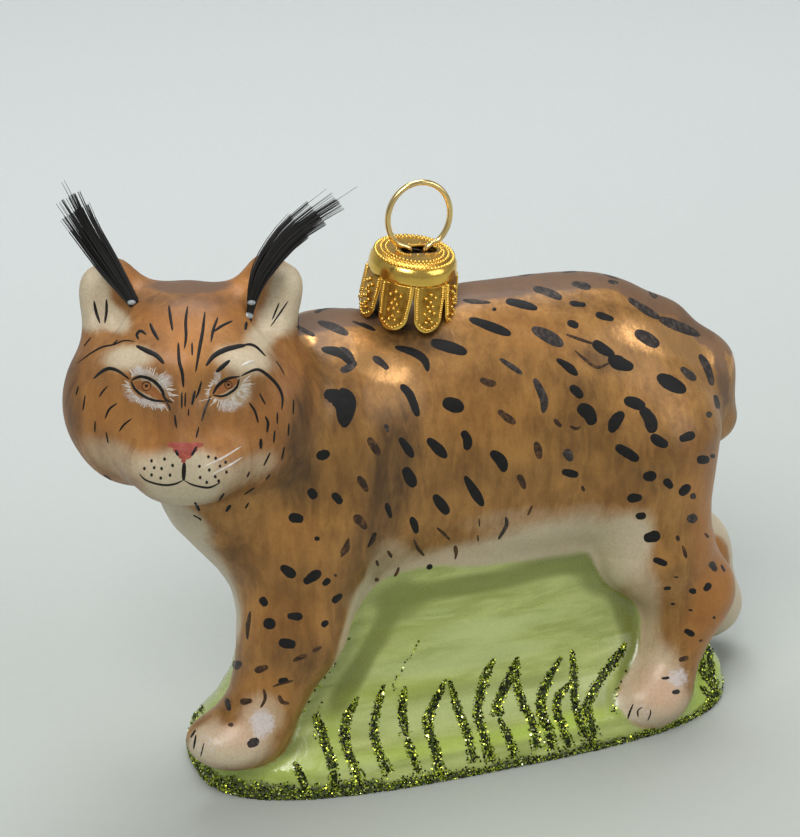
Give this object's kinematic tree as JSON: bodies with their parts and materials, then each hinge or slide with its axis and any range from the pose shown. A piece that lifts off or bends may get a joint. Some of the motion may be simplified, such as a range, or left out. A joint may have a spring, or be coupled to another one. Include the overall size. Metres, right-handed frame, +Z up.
{
  "type": "glass eurasian lynx tree ornament",
  "caption": "Mouth-blown glass tree ornament in the shape of a standing spotted lynx on a grassy base, with a gold crown cap and wire loop.",
  "frame": {"origin": "centre of the grassy base's flat underside", "axes": "+X towards the tail, -Y the side that the face turns to, +Z up"},
  "size_m": [0.1052, 0.0354, 0.0886],
  "materials": {
    "amber_glass": "satin",
    "cream_glass": "satin",
    "green_glass": "satin",
    "gold_metal": "polished",
    "black_bristle": "matte"
  },
  "bodies": {
    "root": {"ear_left": "cream_glass", "ear_right": "cream_glass", "head": "amber_glass", "tail": "amber_glass", "front_leg_left": "amber_glass", "front_leg_right": "amber_glass", "hind_leg_left": "amber_glass", "hind_leg_right": "amber_glass", "neck": "amber_glass", "torso": "amber_glass", "grass_foot": "green_glass", "hanger_cap": "gold_metal", "hanger_wire": "gold_metal", "ear_tuft_left": "black_bristle", "ear_tuft_right": "black_bristle"}
  },
  "joints": []
}
